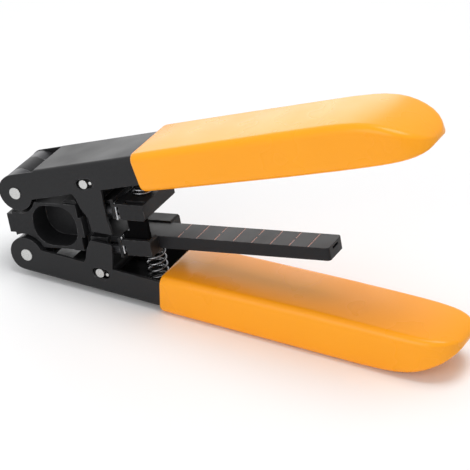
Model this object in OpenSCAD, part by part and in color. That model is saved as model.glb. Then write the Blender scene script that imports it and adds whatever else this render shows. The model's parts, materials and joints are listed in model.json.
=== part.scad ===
// Flat-cable fibre stripper, about 158 mm long.
// Two pressed channel arms hinge on a cast centre block. A slot in each arm drives
// a blade slide straight towards the middle, so the blades always meet square.
//
// Everything is built in the tool's own frame, symmetric about z = 0, with the
// pivots on x = 0 and the handles towards +x, and place() then stands the tool on
// the underside of its lower grip. All sizes are in millimetres.

/* [Arms] */
// half the distance between the two pivots
pivot_half = 10.7; // [10.5:0.1:11.1]
// angle of each handle from the middle with the tool open, in degrees
open_angle = 10.6; // [10.4:0.1:11]
// thickness of the pressed steel
sheet = 1; // [0.8:0.1:1.1]
// outer width over the lower arm
lower_w = 23; // [22.8:0.1:23.6]
// depth of the channel's side plates below the pivot line
side_in = 2.95; // [2.6:0.05:3.1]
// outside radius of the bend between web and side plate
bend_r = 1.7; // [1.3:0.1:2]
// diameter of the two pivot pins
pivot_d = 4; // [3.4:0.1:4.4]

/* [Grips] */
// distance from the pivot to the front of the grip
grip_front = 46.4; // [45:0.2:49]
// distance from the pivot to the end of the grip
grip_end = 148; // [144:1:154]
// width of the grip
grip_w = 24.6; // [24.2:0.1:26]
// rounding of the grip's long edges
grip_edge = 3.6; // [3:0.1:4]

/* [Jaws] */
// gap between the two blade holders with the tool open
jaw_gap = 7; // [6.6:0.1:7.6]
// height of a blade holder
jaw_h = 5.4; // [5:0.1:5.6]
// width of a blade holder
jaw_w = 19.5; // [18.8:0.1:20]
// how far the blade edge stands out of its holder
blade_out = 0.5; // [0.3:0.1:0.8]
// diameter of the slot pins
slot_pin_d = 3; // [2.6:0.1:3]
// diameter of the cap screws' heads
screw_head_d = 3.3; // [3:0.1:3.4]

/* [Gauge] */
// distance from the back of the jaws to the end of the gauge bar
gauge_len = 59.8; // [54:0.2:64]
// width of the gauge bar
gauge_w = 9.3; // [8.6:0.1:9.6]
// distance between two marks
mark_pitch = 6.5; // [6:0.1:6.6]
// number of marks
mark_count = 8; // [4:1:8]

/* [Springs] */
// outer diameter of the two return springs
spring_d = 7.2; // [6.6:0.1:7.6]
// wire thickness of the springs
spring_wire = 0.9; // [0.7:0.1:1]
// number of turns
spring_turns = 6; // [5:0.5:7]

/* [Hidden] */
$fn = 64;
e = 0.01;               // overshoot of every cutting tool
slip = 0.05;            // radial clearance of a turning or sliding fit
side_gap = 0.1;         // between plates that pass each other
web_out = 6.4;          // pivot line to the outside of the web
round_r = 6.05;         // rounded ends of the arms, about the pivots
web_front = 9.3;        // where the web begins, from the pivot

upper_w = lower_w - 2 * (sheet + side_gap);
arm_in = upper_w / 2 - sheet;           // inner face of the upper arm's side plates
arm_end = grip_end - 24;
grip_out = web_out + 1.3;               // grip wall over the web
grip_in_front = side_in + 1.8;          // inner face of the grip at the front
grip_in_back = side_in + 3.8;           // and further back

block_w = 2 * (lower_w / 2 - sheet);    // casting is as wide as the lower arm's inside
block_half = block_w / 2 - side_gap;
block_top = 7.95;
block_back = 21.8;
tongue_back = 23;
round_gap = 1;                          // air round the arms' rounded ends
knuckle_r = 5.9;
knuckle_half = 4.4;
web_half = 2.4;                         // wall between the two side pockets
cable_h = 2.2;                          // flat cable passage along the middle
cable_w = 3.2;

column_half = 7.2;                      // tee rail that guides both slides
stem_half = 4;
rail_x = 22.2;
rail_back = 24.4;
rail_top = 15.1;
hook_z = 12;                            // hooks of the slides, round the rail
hook_h = 2.9;
cheek_half = arm_in - side_gap - 0.05;

pin_x = 26.5;                           // slot pins, same distance back on both sides
slot_in = 0.33;                         // slot line lies this far inside the pivot line
pin_z = pivot_half + pin_x * tan(open_angle) - slot_in / cos(open_angle);
keeper_d = 1.1;
keeper_x = 2.6;                         // small locking pin behind the slot pin
slot_w = slot_pin_d + 4 * slip;
slot_run = 3;                           // straight part of a slot
pin_boss_r = 3;

jaw_in = jaw_gap / 2;
jaw_out = jaw_in + jaw_h;
jaw_front = 36;
jaw_back = 46.4;
blade_t = 0.6;
flange_t = 1;
blade_front = jaw_front - blade_t;
flange_front = blade_front - flange_t;
head_len = 3.2;
shank_d = 1.8;
upper_screw_z = 5.7;
lower_screw_z = 7.9;
screw_y = 7.6;
bore_r = 2.2;                           // clearance bore at the front of a holder
bore_depth = 1.4;
screw_reach = 2.6;                      // length of a jaw screw inside its holder
jaw_travel = 2.91;                      // each jaw, with the handles closed

fence_t = 1.6;                          // side fence that keeps the cable on the blades
fence_y = 7.8;
fence_front = 36.7;
fence_back = 45.7;
fence_foot = 2;
fence_top = jaw_in - 0.3;
fence_step_x = jaw_front + screw_reach + 0.4;   // cut back round the upper jaw's screw
fence_step_z = upper_screw_z - shank_d / 2 - 2 * jaw_travel - 0.5;

gauge_top = 4;                          // gauge bar's top, below the middle
gauge_h = 4.25;
gauge_front = 37;
gauge_end = jaw_back + gauge_len;
mark_first = 53.7;
mark_w = 0.35;
mark_deep = 0.12;
gauge_screw_d = 2.4;
gauge_shank_d = 1.4;
gauge_screw_x = 44.9;
gauge_screw_y = 3.4;

spring_x = 41;
peg_r = spring_d / 2 - spring_wire - 0.25;
peg_h = 2.6;
spring_foot = pivot_half + (spring_x - spring_d / 2) * tan(open_angle)
    + (web_out - sheet) / cos(open_angle);

// Which node to show, or "all"

// ---- frames -------------------------------------------------------------

// stands the tool on its lower grip, centred along x
module place() {
    translate([(round_r - grip_end) / 2, 0, pivot_half * cos(open_angle) + grip_out])
        rotate([0, -open_angle, 0]) children();
}

// the same part on the lower side
module lower() {
    mirror([0, 0, 1]) children();
}

// an arm's own frame: x along the arm from its pivot, z outwards
module arm_frame() {
    translate([0, 0, pivot_half]) rotate([0, -open_angle, 0]) children();
}

// extrudes an outline drawn in x and z to the full width w
module wide(w) {
    rotate([90, 0, 0]) linear_extrude(w, center = true) children();
}

module both_sides() {
    children();
    mirror([0, 1, 0]) children();
}

// round bar across the tool
module cross_bar(r, w) {
    rotate([90, 0, 0]) cylinder(h = w, r = r, center = true);
}

// round bar along the tool, from x0 to x1
module long_bar(r, x0, x1) {
    translate([x0, 0, 0]) rotate([0, 90, 0]) cylinder(h = x1 - x0, r = r);
}

module box(x0, x1, half_y, z0, z1) {
    translate([x0, -half_y, z0]) cube([x1 - x0, 2 * half_y, z1 - z0]);
}

// rectangle with rounded corners, centred
module round_rect(w, h, r) {
    square([w - 2 * r, h], center = true);
    square([w, h - 2 * r], center = true);
    for (sx = [-1, 1], sz = [-1, 1])
        translate([sx * (w / 2 - r), sz * (h / 2 - r)]) circle(r);
}

// ---- centre block -------------------------------------------------------

module block_outline() {
    difference() {
        union() {
            translate([-5.05, -3.25]) square([2, 6.5]);
            translate([-3.7, -block_top]) square([block_back + 3.7, 2 * block_top]);
            translate([0, -3.4]) square([tongue_back, 6.8]);
        }
        for (s = [-1, 1]) {
            translate([0, s * pivot_half]) circle(round_r + round_gap);
            translate([-8, s > 0 ? 3.25 : -10.25]) square([8 - 3, 7]);
        }
    }
}

module shoulder() {
    translate([16.6, 0, block_top - 1]) {
        rotate([90, 0, 0]) linear_extrude(2 * cheek_half, center = true) {
            translate([1, 0]) square([3.2, 1.9]);
            translate([1, 1]) circle(0.9);
            translate([4.2, 1]) circle(0.9);
        }
    }
}

module centre_block() {
    color("#2b2c2e") difference() {
        union() {
            wide(2 * block_half) block_outline();
            // knuckles that carry the pivot pins
            for (s = [-1, 1]) translate([0, 0, s * pivot_half])
                cross_bar(knuckle_r, 2 * knuckle_half);
            box(-3.7, 7, knuckle_half, -pivot_half, pivot_half);
            both_sides() for (s = [0, 1]) mirror([0, 0, s])
                intersection() {
                    shoulder();
                    translate([0, -cheek_half, 0]) cube([30, 3, 20]);
                }
            // tee rail
            box(18, rail_x + e, stem_half, -rail_top, rail_top);
            box(rail_x, rail_back, column_half, -rail_top, rail_top);
            box(block_back - 1, rail_x + e, column_half, -block_top, block_top);
        }
        for (s = [-1, 1]) translate([0, 0, s * pivot_half])
            cross_bar(pivot_d / 2, 30);
        // side pockets
        both_sides() translate([12.6, -web_half, 0]) rotate([90, 0, 0])
            linear_extrude(20) round_rect(16.2, 14, 6);
        // flat cable passage
        box(-10, 30, cable_w / 2, -cable_h / 2, cable_h / 2);
    }
}

module pivot_pin(w) {
    translate([0, 0, pivot_half]) color("#b9bbbd") cross_bar(pivot_d / 2 - e / 2, w + 0.5);
}

module spacers(inner_half) {
    color("#3a3b3d") translate([0, 0, pivot_half]) both_sides()
        translate([0, -knuckle_half - slip, 0]) rotate([90, 0, 0]) difference() {
            cylinder(h = inner_half - knuckle_half - 2 * slip, r = knuckle_r);
            translate([0, 0, -1]) cylinder(h = 20, r = pivot_d / 2);
        }
}

// ---- arms ---------------------------------------------------------------

// bent sheet, seen along the arm
module channel_section(w) {
    difference() {
        channel_skin(w, 0);
        channel_skin(w, sheet);
    }
}

module channel_skin(w, inset) {
    r = bend_r - inset;
    half = w / 2 - inset;
    top = web_out - inset;
    translate([-half, -30]) square([2 * half, 30 + top - r]);
    translate([-(half - r), 0]) square([2 * (half - r), top]);
    for (s = [-1, 1]) translate([s * (half - r), top - r]) circle(r);
}

// tab that closes the side of the head; drawn in the arm's frame
module upper_tab() {
    polygon([[21.2, -side_in + 0.5], [22.1, -4.3], [22.6, -8.2], [24.1, -11.9],
        [23.5, -16.4], [30.6, -18.4], [30.7, -14], [31.3, -10], [32.7, -side_in],
        [33.3, -side_in + 0.5]]);
}

module lower_tab() {
    polygon([[20.9, -side_in + 0.5], [21.9, -4.3], [22.5, -8.2], [23.5, -11.1],
        [24, -11.6], [31.2, -11.8], [31.7, -11.3], [31.6, -side_in],
        [32.1, -side_in + 0.5]]);
}

module side_outline() {
    difference() {
        union() {
            circle(round_r);
            translate([0, -side_in]) square([arm_end, side_in + round_r]);
            translate([web_front, 0]) square([arm_end - web_front, web_out]);
            children();
        }
        circle(pivot_d / 2 + slip);
        slot_outline(slot_w);
    }
}

// slot for the slide's pin, along the arm
module slot_outline(w) {
    pin_r = norm([pin_x, pin_z - pivot_half]);
    translate([pin_r + 0.4, -slot_in]) {
        square([slot_run, w], center = true);
        for (s = [-1, 1]) translate([s * slot_run / 2, 0]) circle(w / 2);
    }
}

module arm(w) {
    color("#232426") arm_frame() difference() {
        intersection() {
            translate([-10, 0, 0]) rotate([90, 0, 90])
                linear_extrude(arm_end + 20) channel_section(w);
            wide(w + 2) side_outline() children();
        }
        // the web stops short of the knuckles
        translate([-10, -w / 2 + sheet, 0]) cube([10 + web_front, w - 2 * sheet, 10]);
        // shallow step round the slot's mouth
        both_sides() translate([0, -w / 2 + 0.25, 0]) rotate([90, 0, 0])
            linear_extrude(1) slot_outline(slot_w + 0.7);
    }
}

module upper_arm() { arm(upper_w) upper_tab(); }
module lower_arm() { lower() arm(lower_w) lower_tab(); }

// ---- grips --------------------------------------------------------------

// one rounded cross-section of the grip: half width, inner and outer face
module grip_ring(x, half, z_in, z_out, r) {
    for (s = [-1, 1], z = [z_in + r, z_out - r])
        translate([x, s * (half - r), z]) sphere(r / cos(180 / 24), $fn = 24);
}

module grip(w) {
    half = grip_w / 2;
    r = grip_edge;
    color("#f59a1b") arm_frame() difference() {
        union() {
            hull() {
                grip_ring(grip_front + r, half, -grip_in_front, grip_out, r);
                grip_ring(grip_front + 30, half, -grip_in_front - 0.9, grip_out, r);
            }
            hull() {
                grip_ring(grip_front + 30, half, -grip_in_front - 0.9, grip_out, r);
                grip_ring(grip_end - 26, half, -grip_in_back, grip_out - 0.2, r);
            }
            // the outer face rolls down to the tip
            hull() {
                grip_ring(grip_end - 26, half, -grip_in_back, grip_out - 0.2, r);
                grip_ring(grip_end - 15, half - 0.2, -grip_in_back, grip_out - 2.2, r);
            }
            hull() {
                grip_ring(grip_end - 15, half - 0.2, -grip_in_back, grip_out - 2.2, r);
                grip_ring(grip_end - 8, half - 1.8, -grip_in_back + 0.2, grip_out - 5, r);
                grip_ring(grip_end - r, half - 5.5, -grip_in_back + 0.7, 2 * r - 6, r);
            }
        }
        // socket for the channel
        rotate([90, 0, 90]) linear_extrude(arm_end + e) intersection() {
            channel_skin(w, 0);
            translate([-w / 2, -side_in]) square([w, side_in + web_out]);
        }
    }
}

module upper_grip() { grip(upper_w); }
module lower_grip() { lower() grip(lower_w); }

// ---- slides and jaws ----------------------------------------------------

module slide(screw_z) {
    color("#303134") difference() {
        union() {
            box(rail_back + slip, jaw_front - blade_t - flange_t + e, cheek_half,
                jaw_in, jaw_out);
            box(flange_front, blade_front, cheek_half, jaw_in, jaw_out + 1.2);
            // upright that carries the slot pin
            box(rail_back + slip, 30.2, cheek_half, jaw_out - 1, pin_z);
            translate([rail_back + slip + pin_boss_r, 0, pin_z])
                cross_bar(pin_boss_r, 2 * cheek_half);
            // hooks that wrap the tee rail
            both_sides() {
                translate([20.9, -cheek_half, hook_z])
                    cube([6, cheek_half - column_half - slip, hook_h]);
                translate([20.9, -cheek_half, hook_z])
                    cube([rail_x - slip - 20.9, cheek_half - stem_half - slip, hook_h]);
            }
        }
        // room for the screw heads
        both_sides() translate([0, screw_y, screw_z]) {
            long_bar(screw_head_d / 2 + 0.5, 29.9, flange_front);
            long_bar(shank_d / 2, 30, 40);
            translate([30.6, 0, -9]) cube([flange_front - 30.6, 5, 18]);
        }
        translate([pin_x, 0, pin_z]) cross_bar(slot_pin_d / 2, 40);
        translate([pin_x, 0, pin_z]) rotate([0, -open_angle, 0])
            translate([keeper_x, 0, 0]) cross_bar(keeper_d / 2, 40);
    }
}

module slot_pin(w) {
    color("#b9bbbd") translate([pin_x, 0, pin_z]) {
        cross_bar(slot_pin_d / 2 - e / 2, w - 0.1);
        rotate([0, -open_angle, 0]) translate([keeper_x, 0, 0])
            cross_bar(keeper_d / 2 - e / 2, w - 0.5);
    }
}

module blade_holder(screw_z) {
    half = jaw_w / 2;
    color("#2b2c2e") difference() {
        union() {
            wide(jaw_w) polygon([[jaw_front, jaw_in], [jaw_back - 0.6, jaw_in],
                [jaw_back, jaw_in + 0.6], [jaw_back, jaw_out], [jaw_front, jaw_out]]);
            translate([spring_x, 0, jaw_out - e]) cylinder(h = peg_h, r = peg_r);
        }
        both_sides() translate([0, screw_y, screw_z]) {
            long_bar(shank_d / 2, jaw_front - 1, jaw_front + screw_reach + 0.1);
            long_bar(bore_r, jaw_front - 1, jaw_front + bore_depth);
            translate([jaw_front - 1, 0, -bore_r]) cube([1 + bore_depth, 4, 2 * bore_r]);
        }
        children();
    }
}

module blade(screw_z) {
    color("#c6c9cc") difference() {
        box(blade_front, jaw_front, cheek_half - 0.3, jaw_in - blade_out, jaw_out);
        // notch that leaves the fibre whole
        translate([0, 0, jaw_in - blade_out]) long_bar(0.6, 30, 40);
        both_sides() translate([0, screw_y, screw_z]) long_bar(shank_d / 2, 30, 40);
    }
}

module jaw_screws(screw_z) {
    color("#4a4b4d") both_sides() translate([0, screw_y, screw_z]) difference() {
        union() {
            long_bar(screw_head_d / 2, flange_front - head_len, flange_front);
            long_bar(shank_d / 2 - e / 2, flange_front - e, jaw_front + screw_reach);
        }
        translate([flange_front - head_len - 1, 0, 0]) rotate([0, 90, 0])
            cylinder(h = 2.4, r = 0.9, $fn = 6);
    }
}

module upper_slide() { slide(upper_screw_z); }
module lower_slide() { lower() slide(lower_screw_z); }
module upper_slot_pin() { slot_pin(upper_w); }
module lower_slot_pin() { lower() slot_pin(lower_w); }
module upper_blade() { blade(upper_screw_z); }
module lower_blade() { lower() blade(lower_screw_z); }
module upper_jaw_screws() { jaw_screws(upper_screw_z); }
module lower_jaw_screws() { lower() jaw_screws(lower_screw_z); }
module upper_pivot_pin() { pivot_pin(upper_w); }
module lower_pivot_pin() { lower() pivot_pin(lower_w); }
module upper_spacers() { spacers(upper_w / 2 - sheet); }
module lower_spacers() { lower() spacers(lower_w / 2 - sheet); }

module upper_blade_holder() {
    // slot that swallows the fence as the jaws close
    blade_holder(upper_screw_z)
        translate([0, -fence_y, 2 * jaw_travel])
            wide(fence_t + 2 * side_gap) fence_outline(0.15, jaw_out);
}

module lower_blade_holder() {
    lower() blade_holder(lower_screw_z) {
        // channel for the gauge bar
        translate([gauge_front, -gauge_w / 2, -1])
            cube([20, gauge_w, gauge_top + gauge_h + 1]);
        translate([fence_front, -fence_y - fence_t / 2, -1])
            cube([fence_back - fence_front, fence_t, 1 + jaw_in + fence_foot]);
        for (s = [-1, 1]) translate([gauge_screw_x, s * gauge_screw_y, 0])
            cylinder(h = 20, d = gauge_shank_d);
    }
}

// the fence's outline in x and z, with g more all round; its front corner is cut
// back so that it passes the near screw of the upper jaw
module fence_outline(g, top) {
    foot = jaw_in + fence_foot;
    translate([fence_front - g, -foot])
        square([fence_back - fence_front + 2 * g, foot + fence_step_z + g]);
    translate([fence_step_x - g, -foot])
        square([fence_back - fence_step_x + 2 * g, foot + top]);
}

module cable_fence() {
    color("#141416") translate([0, -fence_y, 0]) wide(fence_t) fence_outline(0, fence_top);
}

// ---- gauge --------------------------------------------------------------

// one mark across the bar; every other one is broken in the middle
module mark(i) {
    x = mark_first + i * mark_pitch - mark_w / 2;
    reach = gauge_w / 2 - 0.25;
    difference() {
        translate([x, -reach, -gauge_top - mark_deep]) cube([mark_w, 2 * reach, mark_deep]);
        if (i % 2 == 0)
            translate([x - 1, -0.6, -gauge_top - 1]) cube([2, 1.2, 2]);
    }
}

module gauge_marks() {
    color("#c9a9a4") for (i = [0 : mark_count - 1]) mark(i);
}

module gauge_bar() {
    color("#1f2022") difference() {
        translate([0, 0, -gauge_top - gauge_h]) intersection() {
            translate([gauge_front, -gauge_w / 2, 0])
                cube([gauge_end - gauge_front, gauge_w, gauge_h]);
            linear_extrude(gauge_h) {
                translate([0, -20]) square([gauge_end - 1, 40]);
                translate([0, -gauge_w / 2 + 1]) square([gauge_end, gauge_w - 2]);
                for (s = [-1, 1]) translate([gauge_end - 1, s * (gauge_w / 2 - 1)]) circle(1);
            }
        }
        for (i = [0 : mark_count - 1]) mark(i);
        // slot in the end
        translate([gauge_end - 3, -1.8, -gauge_top - 1.6]) cube([4, 3.6, 0.9]);
        for (s = [-1, 1]) translate([gauge_screw_x, s * gauge_screw_y, -gauge_top - gauge_h - 1])
            cylinder(h = 3.5, d = gauge_shank_d);
    }
}

module gauge_screws() {
    color("#4a4b4d") for (s = [-1, 1])
        translate([gauge_screw_x, s * gauge_screw_y, -jaw_out]) {
            difference() {
                translate([0, 0, -1.2]) cylinder(h = 1.2, d = gauge_screw_d);
                translate([0, 0, -2]) cylinder(h = 1.4, r = 0.6, $fn = 6);
            }
            cylinder(h = jaw_out - gauge_top - gauge_h + 2, d = gauge_shank_d - e);
        }
}

// ---- springs ------------------------------------------------------------

// level cut through a wire wound with pitch p on radius r
module wire_cut(r, wire, p) {
    rise = p / 360;
    reach = wire / 2 / rise;
    steps = 6;
    t = function (a) sqrt(max(0, pow(wire / 2, 2) - pow(a * rise, 2)));
    polygon(concat(
        [for (i = [-steps : steps]) let (a = i * reach / steps)
            (r + t(a)) * [cos(a), sin(a)]],
        [for (i = [steps - 1 : -1 : 1 - steps]) let (a = i * reach / steps)
            (r - t(a)) * [cos(a), sin(a)]]));
}

module spring() {
    h = spring_foot - jaw_out;
    color("#8f9296") translate([spring_x, 0, jaw_out])
        linear_extrude(h, twist = -360 * spring_turns, slices = 12 * spring_turns, $fn = 24)
            wire_cut(spring_d / 2 - spring_wire / 2, spring_wire, h / spring_turns);
}

module upper_spring() { spring(); }
module lower_spring() { lower() spring(); }

place() centre_block();
place() upper_pivot_pin();
place() lower_pivot_pin();
place() upper_spacers();
place() lower_spacers();
place() upper_arm();
place() lower_arm();
place() upper_grip();
place() lower_grip();
place() upper_slide();
place() lower_slide();
place() upper_slot_pin();
place() lower_slot_pin();
place() upper_blade_holder();
place() lower_blade_holder();
place() upper_blade();
place() lower_blade();
place() upper_jaw_screws();
place() lower_jaw_screws();
place() cable_fence();
place() gauge_bar();
place() gauge_marks();
place() gauge_screws();
place() upper_spring();
place() lower_spring();
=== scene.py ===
# %% [markdown]
# # Dressing a flat-cable fibre stripper
#
# The tool arrives as solids that already have their true sizes and move on their
# own joints. This lesson gives it its looks: soft vinyl grips, wound springs,
# bright pins, satin black paint, and a plain white studio to stand in. The grip
# skins stand a few tenths of a millimetre outside the solids that they replace.
# The frame is loaded first.

# %% Load the frame
import bpy, json, math
from mathutils import Matrix, Vector


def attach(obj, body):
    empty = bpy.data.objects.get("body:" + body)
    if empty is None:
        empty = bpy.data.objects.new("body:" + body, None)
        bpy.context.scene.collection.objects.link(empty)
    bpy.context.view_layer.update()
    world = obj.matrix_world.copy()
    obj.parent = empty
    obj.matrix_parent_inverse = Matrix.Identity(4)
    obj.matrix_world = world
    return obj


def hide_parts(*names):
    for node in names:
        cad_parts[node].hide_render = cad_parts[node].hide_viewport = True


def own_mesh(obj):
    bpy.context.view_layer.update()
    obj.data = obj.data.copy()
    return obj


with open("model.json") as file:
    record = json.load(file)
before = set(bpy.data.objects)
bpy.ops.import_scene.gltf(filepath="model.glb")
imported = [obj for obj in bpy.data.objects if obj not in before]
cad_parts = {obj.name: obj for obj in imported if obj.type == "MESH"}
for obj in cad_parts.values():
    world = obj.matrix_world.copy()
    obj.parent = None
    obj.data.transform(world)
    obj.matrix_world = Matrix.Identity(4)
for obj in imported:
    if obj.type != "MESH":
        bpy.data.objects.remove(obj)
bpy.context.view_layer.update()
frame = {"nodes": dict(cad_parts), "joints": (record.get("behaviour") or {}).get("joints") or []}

MM = 0.001
scene = bpy.context.scene

# %% [markdown]
# ## Where things are
#
# The two pivot pins give the tool's own frame. Its origin lies half way between
# them, its z axis runs from the lower pin to the upper one, and its x axis points
# to the handles. Each arm has a frame of its own too, with its origin on its pivot
# and z pointing out of its back. The lower one is a mirror image of the upper one,
# so one model serves both handles.

# %% Read the frames off the joints
joints = {j["name"]: j for j in frame["joints"]}
UPPER_PIVOT = Vector(joints["upper_pivot"]["pos_m"])
LOWER_PIVOT = Vector(joints["lower_pivot"]["pos_m"])
PIVOT_HALF = (UPPER_PIVOT - LOWER_PIVOT).length / 2


def frame_at(origin, z_axis):
    """Matrix with its z along z_axis and its y along the tool's y."""
    y = Vector((0, 1, 0))
    x = y.cross(z_axis)
    return Matrix.Translation(origin) @ Matrix((x, y, z_axis)).transposed().to_4x4()


tool_z = (UPPER_PIVOT - LOWER_PIVOT).normalized()
TOOL = frame_at((UPPER_PIVOT + LOWER_PIVOT) / 2, tool_z)
OPEN_ANGLE = math.atan2(-tool_z.x, tool_z.z)
UPPER_ARM = (TOOL @ Matrix.Translation((0, 0, PIVOT_HALF))
             @ Matrix.Rotation(-OPEN_ANGLE, 4, "Y"))
FLIP = Matrix.Scale(-1, 4, (0, 0, 1))
LOWER_ARM = TOOL @ FLIP @ TOOL.inverted() @ UPPER_ARM
print("pivots", round(2 * PIVOT_HALF / MM, 2), "mm apart, each handle opened by",
      round(math.degrees(OPEN_ANGLE), 2), "degrees")

# %% [markdown]
# ## Camera
#
# A long lens from a little above and to the right, so that the tool's near side,
# its back and the top of the lower grip all show. The camera stands about eighty
# centimetres away, which keeps the two handles nearly free of perspective.

# %% Set up the camera
CAMERA_AT = Vector((306.5, -593.5, 416.9)) * MM
AZIMUTH, ELEVATION, ROLL = 27.3, 30.26, -0.25
SENSOR, LENS = 36, 191.5          # millimetres
camera_data = bpy.data.cameras.new("camera")
camera_data.sensor_width = SENSOR
camera_data.lens = LENS
camera = bpy.data.objects.new("camera", camera_data)
scene.collection.objects.link(camera)
camera.matrix_world = (
    Matrix.Translation(CAMERA_AT)
    @ Matrix.Rotation(math.radians(AZIMUTH), 4, "Z")
    @ Matrix.Rotation(math.radians(90 - ELEVATION), 4, "X")
    @ Matrix.Rotation(math.radians(ROLL), 4, "Z")
)
scene.camera = camera
print("camera at", [round(v, 4) for v in CAMERA_AT])

# %% [markdown]
# ## Studio
#
# A product picture on white needs a floor that is white to the camera and still
# takes a shadow, an even sky all round for the black paint to reflect, and three
# large soft lamps for shape: one above, one in front and one behind as a rim. The
# rim lamp is hidden from the camera. The floor's whiteness to the camera comes
# from its own colour, never from more light on the tool.

# %% World, floor and lamps
scene.view_settings.view_transform = "Standard"


def new_material(name):
    """New node material, with its nodes and its links."""
    m = bpy.data.materials.new(name)
    m.use_nodes = True
    return m, m.node_tree.nodes, m.node_tree.links


world = bpy.data.worlds.new("studio_sky")
scene.world = world
world.use_nodes = True
wn, wl = world.node_tree.nodes, world.node_tree.links
sky = wn["Background"]
sky.inputs["Color"].default_value = (0.86, 0.87, 0.89, 1)
sky.inputs["Strength"].default_value = 0.55
white = wn.new("ShaderNodeBackground")
white.inputs["Color"].default_value = (1, 1, 1, 1)
white.inputs["Strength"].default_value = 1
path = wn.new("ShaderNodeLightPath")
seen = wn.new("ShaderNodeMath")
seen.operation = "MAXIMUM"
clear = wn.new("ShaderNodeMath")
clear.operation = "MAXIMUM"
pick = wn.new("ShaderNodeMixShader")
wl.new(path.outputs["Is Camera Ray"], seen.inputs[0])
wl.new(path.outputs["Is Glossy Ray"], seen.inputs[1])
wl.new(seen.outputs[0], clear.inputs[0])
wl.new(path.outputs["Is Transmission Ray"], clear.inputs[1])
wl.new(clear.outputs[0], pick.inputs["Fac"])
wl.new(sky.outputs[0], pick.inputs[1])
wl.new(white.outputs[0], pick.inputs[2])
wl.new(pick.outputs[0], wn["World Output"].inputs["Surface"])

FLOOR_HALF = 3.0
FLOOR_DROP = 0.0001               # keeps the floor just clear of the tool's rest face
bpy.ops.object.select_all(action="DESELECT")
bpy.ops.mesh.primitive_plane_add(size=2 * FLOOR_HALF, location=(0, 0, -FLOOR_DROP))
floor = bpy.context.active_object
floor.name = "studio_floor"
m, n, _ = new_material("studio_floor_white")
n["Principled BSDF"].inputs["Base Color"].default_value = (0.93, 0.93, 0.93, 1)
n["Principled BSDF"].inputs["Roughness"].default_value = 0.85
floor.data.materials.append(m)


def soft_lamp(name, place, aim, size, watts):
    """Square area lamp at place, looking at aim."""
    data = bpy.data.lights.new(name, "AREA")
    data.shape = "SQUARE"
    data.size = size
    data.energy = watts
    lamp = bpy.data.objects.new(name, data)
    scene.collection.objects.link(lamp)
    look = Vector(aim) - Vector(place)
    lamp.matrix_world = (Matrix.Translation(place)
                         @ look.to_track_quat("-Z", "Y").to_matrix().to_4x4())
    return lamp


soft_lamp("top_lamp", (0.08, 0.05, 0.85), (0.03, 0, 0.03), 0.45, 4)
soft_lamp("front_lamp", (-0.15, -0.9, 0.4), (0, 0, 0.03), 0.6, 3)
rim = soft_lamp("rim_lamp", (-0.65, 0.85, 0.25), (-0.03, 0, 0.03), 0.7, 2.4)
rim.visible_camera = False
print("studio ready: one sky, one floor, three lamps")

# %% [markdown]
# ## Finishes
#
# Every finish is built from nodes that read the piece's own coordinates. Two
# shared groups do the common work. One grains a surface: its bump comes from a
# fine noise and its roughness drifts with a broad one.
# The other finds the edges of a hard part, so that paint can be thin and shiny
# there, as on a tool that is carried in a bag.

# %% Shared node groups


def group(name, inputs, outputs):
    """New shader node group with its sockets, its input and its output node."""
    g = bpy.data.node_groups.new(name, "ShaderNodeTree")
    for socket, kind, value in inputs:
        s = g.interface.new_socket(name=socket, in_out="INPUT", socket_type=kind)
        s.default_value = value
    for socket, kind in outputs:
        g.interface.new_socket(name=socket, in_out="OUTPUT", socket_type=kind)
    return g, g.nodes.new("NodeGroupInput"), g.nodes.new("NodeGroupOutput")


grain, gi, go = group("fine_grain",
                      [("Scale", "NodeSocketFloat", 900.0), ("Low", "NodeSocketFloat", 0.3),
                       ("High", "NodeSocketFloat", 0.5)],
                      [("Rough", "NodeSocketFloat"), ("Height", "NodeSocketFloat")])
coords = grain.nodes.new("ShaderNodeTexCoord")
fine = grain.nodes.new("ShaderNodeTexNoise")
fine.inputs["Detail"].default_value = 3
broad = grain.nodes.new("ShaderNodeTexNoise")
broad.inputs["Scale"].default_value = 60
broad.inputs["Detail"].default_value = 2
spread = grain.nodes.new("ShaderNodeMapRange")
spread.inputs["From Min"].default_value = 0.3
spread.inputs["From Max"].default_value = 0.7
for noise in (fine, broad):
    grain.links.new(coords.outputs["Object"], noise.inputs["Vector"])
grain.links.new(gi.outputs["Scale"], fine.inputs["Scale"])
grain.links.new(broad.outputs["Fac"], spread.inputs["Value"])
grain.links.new(gi.outputs["Low"], spread.inputs["To Min"])
grain.links.new(gi.outputs["High"], spread.inputs["To Max"])
grain.links.new(spread.outputs[0], go.inputs["Rough"])
grain.links.new(fine.outputs["Fac"], go.inputs["Height"])

wear, wi, wo = group("edge_wear",
                     [("Radius", "NodeSocketFloat", 0.0003), ("Break", "NodeSocketFloat", 500.0)],
                     [("Edge", "NodeSocketFloat"), ("Normal", "NodeSocketVector")])
rounded = wear.nodes.new("ShaderNodeBevel")
rounded.samples = 6
facing = wear.nodes.new("ShaderNodeNewGeometry")
dot = wear.nodes.new("ShaderNodeVectorMath")
dot.operation = "DOT_PRODUCT"
edge = wear.nodes.new("ShaderNodeMapRange")
edge.inputs["From Min"].default_value = 0.998
edge.inputs["From Max"].default_value = 0.86
patchy = wear.nodes.new("ShaderNodeTexNoise")
patchy.inputs["Detail"].default_value = 4
where = wear.nodes.new("ShaderNodeTexCoord")
broken = wear.nodes.new("ShaderNodeMapRange")
broken.inputs["From Min"].default_value = 0.42
broken.inputs["From Max"].default_value = 0.62
times = wear.nodes.new("ShaderNodeMath")
times.operation = "MULTIPLY"
wear.links.new(wi.outputs["Radius"], rounded.inputs["Radius"])
wear.links.new(rounded.outputs[0], dot.inputs[0])
wear.links.new(facing.outputs["Normal"], dot.inputs[1])
wear.links.new(dot.outputs["Value"], edge.inputs["Value"])
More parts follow.
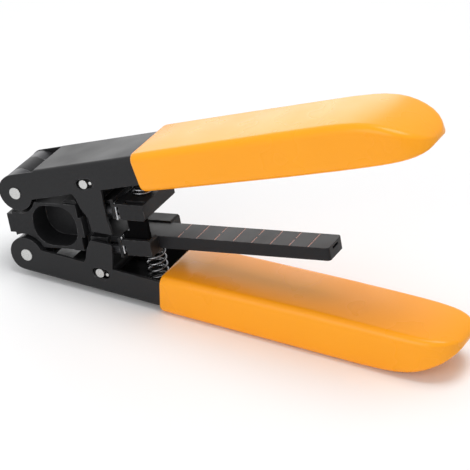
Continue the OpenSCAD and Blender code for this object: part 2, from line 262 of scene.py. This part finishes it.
wear.links.new(where.outputs["Object"], patchy.inputs["Vector"])
wear.links.new(wi.outputs["Break"], patchy.inputs["Scale"])
wear.links.new(patchy.outputs["Fac"], broken.inputs["Value"])
wear.links.new(edge.outputs[0], times.inputs[0])
wear.links.new(broken.outputs[0], times.inputs[1])
wear.links.new(times.outputs[0], wo.inputs["Edge"])
wear.links.new(rounded.outputs[0], wo.inputs["Normal"])
print("node groups:", [g.name for g in bpy.data.node_groups])

# %% [markdown]
# ## Black paint, casting, screws and plastic
#
# All the black parts share one recipe. A base colour that drifts a little, a
# roughness that drifts with it, a fine bump for the spray, and edges where the
# paint has thinned. What differs is how rough, how fine and how worn. The fence's
# base colour and shine are held near zero, far below real black nylon: this is
# painted shade for the gap between the jaws.

# %% Black finishes


def use(nodes, node_group):
    """Adds a shared group to a material's nodes."""
    node = nodes.new("ShaderNodeGroup")
    node.node_tree = node_group
    return node


def black_finish(name, dark, pale, rough, scale, bump, wear_colour, wear_amount, radius,
                 metallic=0.0, shine=0.18):
    """Painted or blackened hard surface with a grain and worn edges."""
    m, n, l = new_material(name)
    p = n["Principled BSDF"]
    g = use(n, grain)
    g.inputs["Scale"].default_value = scale
    g.inputs["Low"].default_value, g.inputs["High"].default_value = rough
    w = use(n, wear)
    w.inputs["Radius"].default_value = radius
    drift = n.new("ShaderNodeMix")
    drift.data_type = "RGBA"
    drift.inputs["A"].default_value = (*dark, 1)
    drift.inputs["B"].default_value = (*pale, 1)
    worn = n.new("ShaderNodeMix")
    worn.data_type = "RGBA"
    worn.inputs["B"].default_value = (*wear_colour, 1)
    amount = n.new("ShaderNodeMath")
    amount.operation = "MULTIPLY"
    amount.inputs[1].default_value = wear_amount
    b = n.new("ShaderNodeBump")
    b.inputs["Strength"].default_value = bump
    b.inputs["Distance"].default_value = 0.00005
    l.new(g.outputs["Height"], drift.inputs["Factor"])
    l.new(drift.outputs["Result"], worn.inputs["A"])
    l.new(w.outputs["Edge"], amount.inputs[0])
    l.new(amount.outputs[0], worn.inputs["Factor"])
    l.new(worn.outputs["Result"], p.inputs["Base Color"])
    l.new(g.outputs["Rough"], p.inputs["Roughness"])
    l.new(g.outputs["Height"], b.inputs["Height"])
    l.new(w.outputs["Normal"], b.inputs["Normal"])
    l.new(b.outputs["Normal"], p.inputs["Normal"])
    p.inputs["Metallic"].default_value = metallic
    p.inputs["Specular IOR Level"].default_value = shine
    return m


BLACKS = {
    "black_sheet": black_finish("satin_black_sheet", (0.009, 0.009, 0.010), (0.015, 0.015, 0.016),
                                (0.36, 0.48), 1500, 0.25, (0.22, 0.22, 0.23), 0.3, 0.0003,
                                shine=0.24),
    "black_casting": black_finish("black_casting_paint", (0.009, 0.009, 0.010),
                                  (0.018, 0.018, 0.019), (0.42, 0.58), 900, 0.5,
                                  (0.28, 0.28, 0.28), 0.4, 0.00035),
    "black_screw": black_finish("black_oxide_screw", (0.03, 0.03, 0.032), (0.07, 0.07, 0.075),
                                (0.3, 0.42), 2200, 0.2, (0.5, 0.5, 0.5), 0.6, 0.0002, 0.6),
    # Fence: real black nylon, with a base colour and shine pushed near zero as painted shade for
    # the gap between the jaws.
    "fence_black": black_finish("black_nylon_and_painted_shade", (0.0008, 0.0008, 0.001),
                                (0.0016, 0.0016, 0.0018), (0.6, 0.75), 1200, 0.3,
                                (0.02, 0.02, 0.02), 0.3, 0.0002, shine=0.03),
    "gauge_black": black_finish("anodised_black_bar", (0.009, 0.009, 0.010),
                                (0.016, 0.016, 0.018), (0.36, 0.5), 1800, 0.25,
                                (0.25, 0.25, 0.26), 0.35, 0.00025),
}
print("black finishes:", sorted(BLACKS))

# %% [markdown]
# ## Bright metal
#
# The pins are ground bright, the blades are hardened steel with a grinding grain
# across them, and the springs are oiled wire. Fine scratches come from a noise
# that is stretched along one direction of the piece.

# %% Steel finishes


def steel_finish(name, colour, rough, stretch, bump):
    """Bare steel with a grinding grain stretched along one axis."""
    m, n, l = new_material(name)
    p = n["Principled BSDF"]
    at = n.new("ShaderNodeTexCoord")
    turn = n.new("ShaderNodeMapping")
    turn.inputs["Scale"].default_value = stretch
    noise = n.new("ShaderNodeTexNoise")
    noise.inputs["Scale"].default_value = 900
    noise.inputs["Detail"].default_value = 5
    tint = n.new("ShaderNodeMix")
    tint.data_type = "RGBA"
    tint.inputs["A"].default_value = (*[c * 0.8 for c in colour], 1)
    tint.inputs["B"].default_value = (*colour, 1)
    r = n.new("ShaderNodeMapRange")
    r.inputs["From Min"].default_value = 0.3
    r.inputs["From Max"].default_value = 0.7
    r.inputs["To Min"].default_value, r.inputs["To Max"].default_value = rough
    w = use(n, wear)
    w.inputs["Radius"].default_value = 0.0002
    b = n.new("ShaderNodeBump")
    b.inputs["Strength"].default_value = bump
    b.inputs["Distance"].default_value = 0.00003
    l.new(at.outputs["Object"], turn.inputs["Vector"])
    l.new(turn.outputs["Vector"], noise.inputs["Vector"])
    l.new(noise.outputs["Fac"], tint.inputs["Factor"])
    l.new(noise.outputs["Fac"], r.inputs["Value"])
    l.new(tint.outputs["Result"], p.inputs["Base Color"])
    l.new(r.outputs[0], p.inputs["Roughness"])
    l.new(noise.outputs["Fac"], b.inputs["Height"])
    l.new(w.outputs["Normal"], b.inputs["Normal"])
    l.new(b.outputs["Normal"], p.inputs["Normal"])
    p.inputs["Metallic"].default_value = 1
    return m


STEELS = {
    "pin_steel": steel_finish("ground_pin_steel", (0.62, 0.62, 0.61), (0.22, 0.4),
                              (1, 0.2, 1), 0.3),
    "blade_steel": steel_finish("hardened_blade_steel", (0.55, 0.56, 0.58), (0.18, 0.32),
                                (1, 0.1, 1), 0.3),
    "spring_steel": steel_finish("oiled_spring_wire", (0.30, 0.30, 0.31), (0.22, 0.36),
                                 (1, 1, 0.3), 0.2),
}
print("steel finishes:", sorted(STEELS))

# %% [markdown]
# ## Painted marks and orange vinyl
#
# The marks are thin printed lines, a little pink, and slightly broken where the
# ink missed. The grips are dipped in soft vinyl: one clear glossy colour, deeper
# where it lies in shadow, with the faintest ripple left by the dip.

# %% Ink and vinyl
ink, n, l = new_material("pale_mark_ink")
p = n["Principled BSDF"]
at = n.new("ShaderNodeTexCoord")
speck = n.new("ShaderNodeTexNoise")
speck.inputs["Scale"].default_value = 2500
ramp = n.new("ShaderNodeValToRGB")
ramp.color_ramp.elements[0].position = 0.36
ramp.color_ramp.elements[0].color = (0.16, 0.10, 0.10, 1)
ramp.color_ramp.elements[1].position = 0.5
ramp.color_ramp.elements[1].color = (0.55, 0.36, 0.34, 1)
l.new(at.outputs["Object"], speck.inputs["Vector"])
l.new(speck.outputs["Fac"], ramp.inputs["Fac"])
l.new(ramp.outputs["Color"], p.inputs["Base Color"])
p.inputs["Roughness"].default_value = 0.6

vinyl, n, l = new_material("glossy_orange_vinyl")
p = n["Principled BSDF"]
at = n.new("ShaderNodeTexCoord")
drift = n.new("ShaderNodeTexNoise")
drift.inputs["Scale"].default_value = 35
drift.inputs["Detail"].default_value = 2
tint = n.new("ShaderNodeMix")
tint.data_type = "RGBA"
tint.inputs["A"].default_value = (0.95, 0.345, 0.008, 1)
tint.inputs["B"].default_value = (1.0, 0.39, 0.012, 1)
g = use(n, grain)
g.inputs["Scale"].default_value = 260
g.inputs["Low"].default_value, g.inputs["High"].default_value = 0.24, 0.34
b = n.new("ShaderNodeBump")
b.inputs["Strength"].default_value = 0.12
b.inputs["Distance"].default_value = 0.0001
l.new(at.outputs["Object"], drift.inputs["Vector"])
l.new(drift.outputs["Fac"], tint.inputs["Factor"])
l.new(tint.outputs["Result"], p.inputs["Base Color"])
l.new(g.outputs["Rough"], p.inputs["Roughness"])
l.new(g.outputs["Height"], b.inputs["Height"])
l.new(b.outputs["Normal"], p.inputs["Normal"])
p.inputs["Specular IOR Level"].default_value = 0.27
FINISH = {**BLACKS, **STEELS, "mark_paint": ink, "grip_orange": vinyl}
print("finishes:", len(FINISH))

# %% [markdown]
# ## Dress the frame's own pieces
#
# Each node of the frame has one finish, named here by its material slot. The same
# kind of piece has the same finish on both sides of the tool.

# %% Put the finishes on the frame's own nodes
SLOT_OF = {
    "centre_block": "black_casting",
    "upper_spacers": "black_screw", "lower_spacers": "black_screw",
    "upper_arm": "black_sheet", "lower_arm": "black_sheet", "upper_grip": "grip_orange",
    "lower_grip": "grip_orange", "upper_slide": "black_casting", "lower_slide": "black_casting",
    "upper_blade_holder": "black_casting", "lower_blade_holder": "black_casting",
    "upper_blade": "blade_steel", "lower_blade": "blade_steel", "cable_fence": "fence_black",
    "gauge_bar": "gauge_black", "gauge_marks": "mark_paint", "gauge_screws": "black_screw",
    "upper_jaw_screws": "black_screw", "lower_jaw_screws": "black_screw",
    "upper_spring": "spring_steel", "lower_spring": "spring_steel",
    "upper_pivot_pin": "pin_steel", "lower_pivot_pin": "pin_steel",
    "upper_slot_pin": "pin_steel", "lower_slot_pin": "pin_steel",
}
for name, slot in SLOT_OF.items():
    slots = frame["nodes"][name].data.materials
    if len(slots):
        for i in range(len(slots)):
            slots[i] = FINISH[slot]
    else:
        slots.append(FINISH[slot])
print("nodes finished:", len(SLOT_OF), "of", len(frame["nodes"]))

# %% [markdown]
# ## Helpers
#
# A piece is modelled at the origin of its arm or of the tool. It is then moved into
# place once, by baking that frame's matrix into its mesh. A mirrored frame turns a
# mesh inside out, so its normals are flipped back.

# %% Helpers for modelling


def deselect():
    """Leaves edit mode and clears the selection."""
    if bpy.context.mode != "OBJECT":
        bpy.ops.object.mode_set(mode="OBJECT")
    bpy.ops.object.select_all(action="DESELECT")


def start(o, name):
    """Names a primitive and opens it in edit mode."""
    o.name = name
    o.data.name = name
    bpy.ops.object.mode_set(mode="EDIT")


def pick_faces(o, by_face, by_centre):
    """In edit mode, selects only the faces that pass both tests."""
    bpy.ops.mesh.select_mode(type="FACE")
    bpy.ops.mesh.select_all(action="DESELECT")
    bpy.ops.object.mode_set(mode="OBJECT")
    for f in o.data.polygons:
        f.select = bool(by_face(f) and by_centre(f.center))
    bpy.ops.object.mode_set(mode="EDIT")


def finish_piece(o, matrix, body, slot, angle=35):
    """Bakes matrix into the mesh, shades it smooth, finishes it and lets it ride."""
    deselect()
    o.data.transform(matrix @ o.matrix_world)
    o.matrix_world = Matrix.Identity(4)
    if matrix.determinant() < 0:
        o.data.flip_normals()
    o.select_set(True)
    bpy.context.view_layer.objects.active = o
    bpy.ops.object.shade_smooth_by_angle(angle=math.radians(angle))
    o.data.materials.clear()
    o.data.materials.append(FINISH[slot])
    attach(o, body)
    print(o.name, "with", len(o.data.polygons), "faces on", body)


print("helpers ready")

# %% [markdown]
# ## Grips
#
# Each handle is dipped in thick vinyl. The skin is a rounded bar, a little deeper
# towards the hand's heel, whose back rolls down to a rounded tip. It is drawn as a
# rounded rectangle at the front and pushed along the handle, one ring after
# another, each ring scaled to its own width and depth. The front is then hollowed
# to let the steel channel in. Extruding rings keeps full control of the side view
# and of the plan at once, which a bevelled block would not.

# %% Model one grip
GRIP_R = 2.3                      # rounding of the long edges
GRIP_SIDE = 12.55                 # half the width of the skin
# place along the arm, share of the width, inner face, outer face, in millimetres
GRIP_RINGS = [
    (48.7, 0.955, -4.6, 7.2), (49.0, 0.982, -5.0, 7.5), (49.9, 1.0, -5.3, 7.66),
    (60, 1.0, -5.7, 7.68), (76, 1.0, -6.2, 7.68), (100, 1.0, -6.9, 7.66),
    (118, 1.0, -7.2, 7.6), (125, 1.0, -7.25, 7.3), (129, 0.998, -7.25, 6.9),
    (133, 0.985, -7.25, 6.1), (136, 0.965, -7.2, 5.1), (138.8, 0.93, -7.15, 3.8),
    (141.2, 0.875, -7.05, 2.4), (143.4, 0.79, -6.9, 1.0), (145.2, 0.68, -6.65, -0.5),
    (146.6, 0.54, -6.3, -1.9), (147.5, 0.38, -5.8, -3.0), (147.95, 0.2, -5.2, -3.9),
]
PLATE_IN, WEB_OUT = -2.95, 6.4    # the channel's depth, from its pivot line
SOCKET_DEPTH = 40
SOCKET_RIM = 0.35                 # wall left round the socket before it is sized
UPPER_SOCKET, LOWER_SOCKET = 10.4, 11.5     # half the width of each channel's socket
CAP_STEP, CAP_SHARE, CAP_RINGS = 0.02, 0.6, 3


def model_grip(name, arm_half):
    """Rounded bar pushed ring by ring along x, hollow at its front."""
    x, share, inner, outer = GRIP_RINGS[0]
    deselect()
    bpy.ops.mesh.primitive_plane_add(size=2, rotation=(0, math.radians(90), 0))
    o = bpy.context.active_object
    bpy.ops.object.transform_apply(location=False, rotation=True, scale=False)
    start(o, name)
    bpy.ops.mesh.select_all(action="SELECT")
    bpy.ops.transform.resize(
        value=(1, share * GRIP_SIDE * MM, (outer - inner) / 2 * MM), center_override=(0, 0, 0))
    bpy.ops.transform.translate(value=(x * MM, 0, (outer + inner) / 2 * MM))
    bpy.ops.mesh.bevel(offset=GRIP_R * MM, offset_type="OFFSET", segments=6, affect="VERTICES")
    bpy.ops.mesh.select_all(action="SELECT")
    for (x0, h0, i0, o0), (x1, h1, i1, o1) in zip(GRIP_RINGS, GRIP_RINGS[1:]):
        z0, z1 = (i0 + o0) / 2, (i1 + o1) / 2
        bpy.ops.mesh.extrude_region_move(
            TRANSFORM_OT_translate={"value": ((x1 - x0) * MM, 0, (z1 - z0) * MM)})
        bpy.ops.transform.resize(value=(1, h1 / h0, (o1 - i1) / (o0 - i0)),
                                 center_override=(x1 * MM, 0, z1 * MM))
    # close the soft end with ever smaller rings
    for _ in range(CAP_RINGS):
        bpy.ops.mesh.extrude_region_move(TRANSFORM_OT_translate={"value": (CAP_STEP * MM, 0, 0)})
        bpy.ops.transform.resize(value=(1, CAP_SHARE, CAP_SHARE),
                                 center_override=(x1 * MM, 0, z1 * MM))
    # socket for the channel, just wider than its plates
    pick_faces(o, lambda f: abs(f.normal.x) > 0.9, lambda c: c.x < (x + 0.01) * MM)
    bpy.ops.mesh.inset(thickness=SOCKET_RIM * MM)
    half, deep = share * GRIP_SIDE - SOCKET_RIM, (outer - inner) / 2 - SOCKET_RIM
    bpy.ops.transform.resize(
        value=(1, arm_half / half, (WEB_OUT - PLATE_IN) / 2 / deep),
        center_override=(x * MM, 0, (outer + inner) / 2 * MM))
    bpy.ops.transform.translate(value=(0, 0, (WEB_OUT + PLATE_IN - outer - inner) / 2 * MM))
    bpy.ops.mesh.extrude_region_move(
        TRANSFORM_OT_translate={"value": (SOCKET_DEPTH * MM, 0, 0)})
    bpy.ops.mesh.select_all(action="SELECT")
    bpy.ops.mesh.normals_make_consistent(inside=False)
    bpy.ops.object.mode_set(mode="OBJECT")
    return o


for name, arm_half, matrix, body in (
        ("upper_grip_skin", UPPER_SOCKET, UPPER_ARM, "upper_arm"),
        ("lower_grip_skin", LOWER_SOCKET, LOWER_ARM, "lower_arm")):
    o = model_grip(name, arm_half)
    finish_piece(o, matrix, body, "grip_orange", 50)
    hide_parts(name.replace("_skin", ""))

# %% [markdown]
# ## Return springs
#
# Two short compression springs push the handles open. Each is wound from round
# wire, with its end turns lying close together so that it stands square. A ring of
# wire is drawn once and pushed round the axis in small steps, climbing as it goes.
# Pushing the ring lets the pitch change along the spring, which a screw modifier
# does not. Each coil stands on the outer face of its jaw and rides with that jaw.

# %% Wind the springs
WIRE_R, COIL_R = 0.45, 3.15
STEPS = 20                        # pushes for each turn
CLOSED_TURNS, OPEN_TURNS = 1, 5
JAW_OUT, SPRING_X = 8.9, 41.0     # jaw's outer face, and the spring's place, from the middle


def wind_spring(name, height):
    """Coil along z from 0 to height, in millimetres, around the origin."""
    deselect()
    bpy.ops.mesh.primitive_circle_add(vertices=12, radius=WIRE_R * MM, fill_type="NGON",
                                      rotation=(math.radians(90), 0, 0))
    o = bpy.context.active_object
    bpy.ops.object.transform_apply(location=False, rotation=True, scale=False)
    start(o, name)
    bpy.ops.mesh.select_all(action="SELECT")
    bpy.ops.transform.translate(value=(COIL_R * MM, 0, WIRE_R * MM))
    closed = 2 * WIRE_R + 0.02
    rise = height - 2 * WIRE_R - 2 * CLOSED_TURNS * closed
    climbs = ([closed / STEPS] * (CLOSED_TURNS * STEPS)
              + [rise / OPEN_TURNS / STEPS] * (OPEN_TURNS * STEPS)
              + [closed / STEPS] * (CLOSED_TURNS * STEPS))
    for climb in climbs:
        bpy.ops.mesh.extrude_region_move(TRANSFORM_OT_translate={"value": (0, 0, climb * MM)})
        bpy.ops.transform.rotate(value=math.radians(360 / STEPS), orient_axis="Z",
                                 center_override=(0, 0, 0))
    bpy.ops.mesh.select_all(action="SELECT")
    bpy.ops.mesh.normals_make_consistent(inside=False)
    bpy.ops.object.mode_set(mode="OBJECT")
    return o


def spring_height(node):
    """Height of a spring's own node, measured along the tool's z."""
    to_tool = TOOL.inverted()
    zs = [(to_tool @ v.co).z for v in frame["nodes"][node].data.vertices]
    return (max(abs(z) for z in zs) - min(abs(z) for z in zs)) / MM


for name, matrix, body, joint in (
        ("upper_coil", TOOL, "upper_jaw", "upper_pivot"),
        ("lower_coil", TOOL @ FLIP, "lower_jaw", "lower_pivot")):
    node = name.replace("coil", "spring")
    foot = Vector((SPRING_X, 0, JAW_OUT)) * MM
    o = wind_spring(name, spring_height(node))
    finish_piece(o, matrix @ Matrix.Translation(foot), body, "spring_steel", 60)
    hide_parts(node)
    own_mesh(o)

# %% Clear the selection
deselect()
